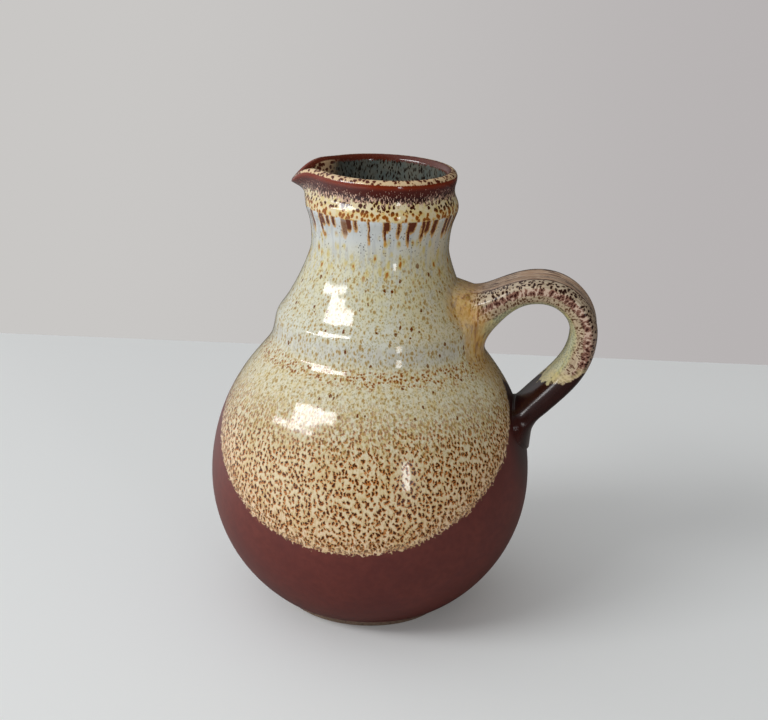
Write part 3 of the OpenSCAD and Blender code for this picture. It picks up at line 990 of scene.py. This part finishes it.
def dipped(place):
    """Both glazes with the border between them: colour, relief, where the pale coat lies, and the place."""
    pale, pale_relief, above, at = pale_glaze(place)
    brown, brown_relief = brown_glaze(place)
    thread = scatter(pushed(place, 0.8, 1.2), 1.35)[0]
    cover = (above + (thread - 0.5) * 3.6).ease(-0.3, 0.3)
    pale = coats(pale, (cover * above.fall(0.5, 3.0) * 0.3, (218, 188, 152)))
    # Painted shade: the brown beside the handle's tail is darkened to stand in for the handle's shadow and its
    # dark reflection.
    brown = coats(brown, (tail_shade_share(*at) * 0.8, (32, 13, 10)))
    relief = pale_relief * cover + brown_relief * (1.0 - cover) + cover * 1.6
    return blend(cover, brown, pale), relief, cover, at


print("brown glaze ready")


# %% [markdown]
# ## The inside and the handle's root
#
# The inside is the pale glaze in the neck's shade, painted a dark grey-green, with dark dashes that ran down
# from the rim. Where the handle joins, the glaze pooled in the corner and fired to ochre, with brown veins that
# run downwards on to the belly.

# %% Inside glaze in painted shade, and ochre
def mark_of(tree, name):
    return Wire.add(tree, "ShaderNodeAttribute", {"attribute_name": name}, None, out="Fac")


def painted_shade_inside(tree, place, colour):
    """Paints the inner side of a wall a grey-green painted shade, with dark dashes that ran down from the rim.
    """
    streak = spots(place, 0.92, 0.4, 3.0)[0]
    inner = coats(
        (86, 94, 90),
        (clouds(place, 7.0).ease(0.35, 0.7), (102, 102, 92)),
        (streak.fall(0.46, 0.66) * 0.6, (78, 68, 54)),
        (streak.fall(0.38, 0.48), (28, 20, 16)),
    )
    return blend(mark_of(tree, "inside"), colour, inner)


def ochre_pool(place, colour, share):
    """Ochre with brown veins, where a share is above 0."""
    vein = clouds(pushed(tall(place, 0.12, 61.0), 4.0, 1.5), 1.5)
    ochre = coats(
        (198, 142, 58),
        (vein.ease(0.4, 0.62), (208, 166, 88)),
        (vein.fall(0.34, 0.45) * 0.85, (132, 74, 26)),
    )
    return blend(share, colour, ochre)


def root_share(place, x, y, z):
    """How near a place is to the handle's upper root, on the wall."""
    ragged = (clouds(tall(place, 0.25, 83.0), 5.0) - 0.5) * 16.0
    beside = (abs(y) + ragged).fall(12.0, 28.0) * x.ease(22.0, 40.0)
    return beside * z.ease(108.0, 146.0) * z.fall(156.0, 172.0) * 0.92


print("inside and ochre ready")


# %% Glaze for the bowl, shoulder and neck
def bowl_glaze():
    tree, place = start_glaze("two_glazes")
    colour, relief, cover, at = dipped(place)
    colour = ochre_pool(place, colour, root_share(place, *at) * cover)
    end_glaze(tree, painted_shade_inside(tree, place, colour), 0.36 - cover * 0.29, relief)


def slope_glaze():
    tree, place = start_glaze("pale_glaze")
    colour, relief, _, at = pale_glaze(place)
    colour = ochre_pool(place, colour, root_share(place, *at))
    colour = drips(place, colour, *at)
    end_glaze(tree, painted_shade_inside(tree, place, colour), 0.07, relief)


bowl_glaze()
slope_glaze()
print("bowl, shoulder and neck glazed")


# %% [markdown]
# ## The collar
#
# From the bead up there is a cream cuff with brown blotches, amber low down; then a smooth red-brown band
# whose lower edge frays into the cream; then a cream rim with brown dashes. The inner side of the rim is
# brown again, and the hollow of the lip is a speckled tan. The heights are the ones before the lip was
# pulled, so the bands follow the lip.

# %% Glaze for the collar
def collar_glaze():
    tree, place = start_glaze("rim_glaze")
    colour, relief, _, (x, y, z) = pale_glaze(place)
    height = mark_of(tree, "thrown_height")
    cuff_share = (height + (clouds(place, 3.0) - 0.5) * 2.0).ease(200.6, 201.4)
    cream = coats((217, 203, 168), (clouds(place, 3.0).ease(0.45, 0.65), (210, 190, 133)))
    blot = spots(place, 1.9, 0.8, 5.0)[0]
    up = height.ease(203.5, 206.5)
    blotch = coats((140, 76, 18), (up, (62, 21, 4)))
    fray = clouds(tall(place, 0.2), 0.5, 2.0, 0.6) - 0.5
    edge = height + fray * 9.0 + (clouds(tall(place, 0.3, 37.0), 1.8) - 0.5) * 6.0
    thread = clouds(tall(place, 0.3, 9.0), 0.45)
    salt = (thread + (211.0 - height) * 0.035).ease(0.53, 0.61)
    # Partly painted highlight: the brown band goes from near black at its lower edge to a brighter red-brown at
    # its top, where it catches the light.
    band = coats(
        (44, 9, 6),
        (height.ease(210.5, 213.5), (74, 20, 11)),
        (height.ease(214.4, 216.6), (116, 38, 12)),
        (salt * 0.9, (216, 176, 154)),
    )
    dash = spots(place, 1.9, 1.0, 47.0, 0.08)[0]
    top = coats(
        (214, 187, 148),
        (dash.fall(0.46, 0.66) * 0.5, (194, 142, 92)),
        (dash.fall(0.42, 0.50), (84, 34, 16)),
    )
    tip = (x - y * 0.35).fall(-40.0, -36.0)
    colour = coats(
        drips(place, colour, x, y, z),
        (cuff_share, cream),
        (blot.fall(0.48, 0.70) * cuff_share * (0.85 - up * 0.5), (212, 160, 62)),
        (blot.fall(0.45, 0.53) * cuff_share, blotch),
        (edge.ease(208.6, 209.4), band),
        ((height + fray * 1.2).ease(217.3, 217.6) * (1.0 - tip), top),
    )
    inner_band = coats((84, 32, 18), (thread.ease(0.6, 0.7) * 0.5, (140, 92, 70)))
    lip_share = x.fall(-29.0, -22.0) * height.ease(207.0, 210.0) * height.fall(217.4, 218.2)
    lip_tan = coats((190, 158, 122), (dash.fall(0.48, 0.56), (78, 34, 18)))
    inner = coats(
        painted_shade_inside(tree, place, colour),
        ((height + fray * 4.0).ease(216.2, 217.0), inner_band),
        (lip_share, lip_tan),
    )
    end_glaze(tree, blend(mark_of(tree, "inside"), colour, inner), 0.08, relief)


collar_glaze()
print("collar glazed")


# %% [markdown]
# ## The handle's glaze
#
# A pulled strap shows its making: the thumb groove and its two ridges run lengthwise, and the glaze broke
# over them to tan with brown streaks. Each side slopes to an edge that fired maroon, with dark leopard
# spots above it and small ones below. The inner face is pale green. Low down the brown glaze takes over,
# thick and almost black. Distances along, across and above the edge come from marks kept by the strap.

# %% Glaze for the handle
def handle_glaze():
    tree, place = start_glaze("handle_glaze")
    x, y, z = xyz(place)
    length, across, lift = [mark_of(tree, mark) for mark in ("along", "aside", "lift")]
    streak = clouds(joined(tree, length * 0.16, across, lift), 1.4, 3.0)
    strap_place = joined(tree, length, across * 0.7, lift * 0.6)
    leopard, small = spots(strap_place, 1.25)[0], spots(strap_place, 1.1, 1.0, 19.0)[0]
    face = coats(
        (232, 206, 180),
        (streak.ease(0.42, 0.58), (190, 156, 128)),
        (streak.fall(0.40, 0.48) * 0.85, (92, 60, 46)),
    )
    slope = coats(
        (198, 182, 158),
        (streak.ease(0.42, 0.60), (170, 154, 130)),
        (leopard.fall(0.54, 0.70) * 0.5, (150, 112, 84)),
        (length.ease(50.0, 72.0) * 0.55, (128, 92, 80)),
        (leopard.fall(0.44, 0.53), (44, 22, 16)),
    )
    edge = coats(
        (58, 26, 20),
        (leopard.ease(0.36, 0.52), (130, 92, 77)),
        (leopard.ease(0.66, 0.78), (198, 172, 152)),
    )
    under = coats(
        (190, 170, 142),
        (streak.ease(0.4, 0.62), (166, 146, 120)),
        (small.fall(0.42, 0.54), (98, 68, 48)),
    )
    inner = coats(
        (188, 186, 150),
        (clouds(tall(place, 0.4), 5.0).ease(0.42, 0.62), (198, 186, 128)),
        (small.fall(0.42, 0.58) * 0.6, (112, 118, 100)),
    )
    ridge_line = abs(across) + (streak - 0.5) * 2.4
    level = lift + (clouds(place, 2.0) - 0.5) * 3.0
    colour = coats(
        face,
        (ridge_line.ease(8.8, 9.6), slope),
        (abs(ridge_line - 9.0).fall(0.3, 1.0) * 0.8, (74, 46, 40)),
        (level.fall(0.5, 1.1), edge),
        (level.fall(-2.9, -2.2), under),
        ((lift + (streak - 0.5) * 3.0).fall(-7.6, -5.6), inner),
    )
    gap = mark_of(tree, "wall_gap") + (clouds(tall(place, 0.3, 83.0), 4.0) - 0.5) * 10.0
    at_root = length.fall(24.0, 36.0)
    wall_colour = ochre_pool(place, pale_glaze(place)[0], root_share(place, x, y, z))
    colour = ochre_pool(place, colour, gap.fall(4.0, 13.0) * at_root * 0.55)
    colour = blend(gap.fall(1.0, 9.0) * at_root, colour, wall_colour)
    border = z - x * 0.33 - 95.6 + (clouds(place, 6.0) - 0.5) * 9.0
    cover = (border + (clouds(place, 0.9, 2.0, 0.7) - 0.5) * 2.0).ease(-0.5, 0.5)
    colour = coats(colour, (cover * border.fall(1.0, 4.0) * 0.6, (202, 186, 138)))
    # Away from the wall the handle's brown goes almost black as thick glaze. Near the tail it stays dark at the
    # wall too, as painted shade matching the belly beside it.
    thick_and_shade_share = tail_shade_share(x, y, z).most(gap.ease(0.0, 7.0))
    thick = coats(brown_glaze(place)[0], (thick_and_shade_share * 0.9, (22, 8, 6)))
    end_glaze(tree, blend(cover, thick, colour), 0.20 - cover * 0.12, streak, ior=1.4)


handle_glaze()
print("handle glazed")


# %% Bare clay for the foot
def bare_clay():
    tree, place = start_glaze("bare_clay")
    grain = clouds(place, 1.1, 3.0, 0.6)
    pits = scatter(place, 1.9, 0.2)[0]
    colour = coats(
        (140, 118, 100),
        (grain.ease(0.3, 0.7), (120, 98, 82)),
        (pits.fall(0.2, 0.35) * 0.7, (78, 58, 46)),
    )
    end_glaze(tree, colour, 0.85, grain, depth=0.15)


bare_clay()
print("foot ring left bare")


# %% [markdown]
# ## Put the pieces on the frame
#
# Each piece stands in for the solid that it was drawn from. The handle takes in the two pads of slip that
# hold it, because on the fired jug they are one surface.

# %% Ride, replace and slot
for node, piece in thrown.items():
    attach(piece, "root")
    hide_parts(node)
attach(handle, "root")
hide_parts("handle", "upper_slip", "lower_slip")
print("pieces ride on the root")


# %% [markdown]
# ## The table, the window and the camera
#
# The jug stands on a pale table in front of a pale wall. Its reflections show one slanted window to the
# left, parted by a bar and with a narrow strip along its foot, and a small far window to the right. The
# lamps stand where those reflections point. The rest of the room is a soft light, stronger on the left;
# the camera sees the wall's colour instead, with painted shade darkening it to the right.

# %% Table
def plain_plane(name, corners, colour):
    mesh = bpy.data.meshes.new(name)
    mesh.from_pydata(corners, [], [tuple(range(len(corners)))])
    plane = bpy.data.objects.new(name, mesh)
    scene.collection.objects.link(plane)
    material = bpy.data.materials.new(name)
    material.use_nodes = True
    tree = material.node_tree
    tree.nodes.clear()
    path = Wire.add(tree, "ShaderNodeLightPath", None, None, out="Is Camera Ray")
    lift = blend(path, (0.0, 0.0, 0.0, 1.0), (0.09, 0.09, 0.09, 1.0))
    beside = xyz(Wire.add(tree, "ShaderNodeTexCoord", None, None, out="Object"))[0]
    # Painted reflection: where the jug reflects the table, the table is painted bright on the left and dim on
    # the right, standing in for light and shade on it.
    shine = coats((240, 236, 234), (beside.ease(-0.45, 0.0), (138, 132, 128)))
    colour = coats(colour, (path.other("Is Glossy Ray"), shine))
    shader = Wire.add(tree, "ShaderNodeBsdfPrincipled", None, {
        "Base Color": colour, "Roughness": 0.6, "Emission Color": lift, "Emission Strength": 1.0})
    Wire.add(tree, "ShaderNodeOutputMaterial", None, {"Surface": shader})
    mesh.materials.append(material)
    print(name, "set")


far_edge, edge_slant, half = 0.3994, 0.1077, 4
plain_plane("table", [(-half, -half, 0), (half, -half, 0), (half, far_edge + half * edge_slant, 0),
                      (-half, far_edge - half * edge_slant, 0)], (226, 228, 227))


# %% Window
def pane(name, azimuth, elevation, width, height, radiance, tilt=0.0, distance=2.0):
    """A lamp that faces the jug: azimuth 0 is the front, minus the left, and tilt lifts its right end."""
    a, e = math.radians(azimuth), math.radians(elevation)
    way = Vector((math.sin(a) * math.cos(e), -math.cos(a) * math.cos(e), math.sin(e)))
    lamp = bpy.data.lights.new(name, "AREA")
    lamp.shape, lamp.size, lamp.size_y = "RECTANGLE", width, height
    lamp.energy = radiance * math.pi * width * height
    lamp.color = (0.98, 0.99, 1.0)
    glow = bpy.data.objects.new(name, lamp)
    glow.location = Vector((0, 0, 0.12)) + way * distance
    glow.rotation_mode = "QUATERNION"
    glow.rotation_quaternion = (-way).to_track_quat("-Z", "Y") @ Quaternion((0, 0, 1), math.radians(tilt))
    scene.collection.objects.link(glow)


pane("window_left", -55.5, 33.0, 0.74, 0.42, 12.0, 17.0)
pane("window_right", -36.5, 38.0, 0.46, 0.28, 12.0, 15.0)
pane("window_foot", -62.0, 23.5, 1.25, 0.10, 12.0, 12.0)
pane("far_window", 31.0, 8.0, 0.18, 0.55, 9.0)


# %% Room light
world = bpy.data.worlds.new("room")
scene.world = world
world.use_nodes = True
room = world.node_tree
room.nodes.clear()
x, y, z = xyz(Wire.add(room, "ShaderNodeTexCoord", None, None, out="Generated"))
left = (x * -0.75 - y * 0.35 + z * 0.55).ease(-0.5, 0.95)
light = blend(left, (0.13, 0.105, 0.078, 1.0), (0.66, 0.675, 0.70, 1.0))
shine = (x * -0.9 + z * 0.3).ease(0.05, 0.95)
shine = blend(shine, (0.06, 0.056, 0.05, 1.0), (0.82, 0.84, 0.86, 1.0))
# Painted shade: the wall seen by the camera is darker to the right, away from the window.
wall_tone_shaded_right = coats((201, 199, 197), (x.ease(-0.3, 0.17), (183, 179, 179)))
path = Wire.add(room, "ShaderNodeLightPath", None, None, out="Is Camera Ray")
light = blend(path, blend(path.other("Is Glossy Ray"), light, shine), wall_tone_shaded_right)
background = Wire.add(room, "ShaderNodeBackground", None, {"Color": light})
Wire.add(room, "ShaderNodeOutputWorld", None, {"Surface": background})


# %% Camera
camera = bpy.data.objects.new("camera", bpy.data.cameras.new("camera"))
scene.collection.objects.link(camera)
scene.camera = camera
camera.data.lens, camera.data.sensor_width = 70.3125, 36.0
eye, aim = Vector((0.0666, -0.6916, 0.3561)), Vector((0.0044, 0.0004, 0.1239))
camera.location = eye
camera.rotation_mode = "QUATERNION"
camera.rotation_quaternion = (aim - eye).to_track_quat("-Z", "Y") @ Quaternion((0, 0, 1), math.radians(2.70))
print("camera", round((aim - eye).length, 3), "m from the jug")
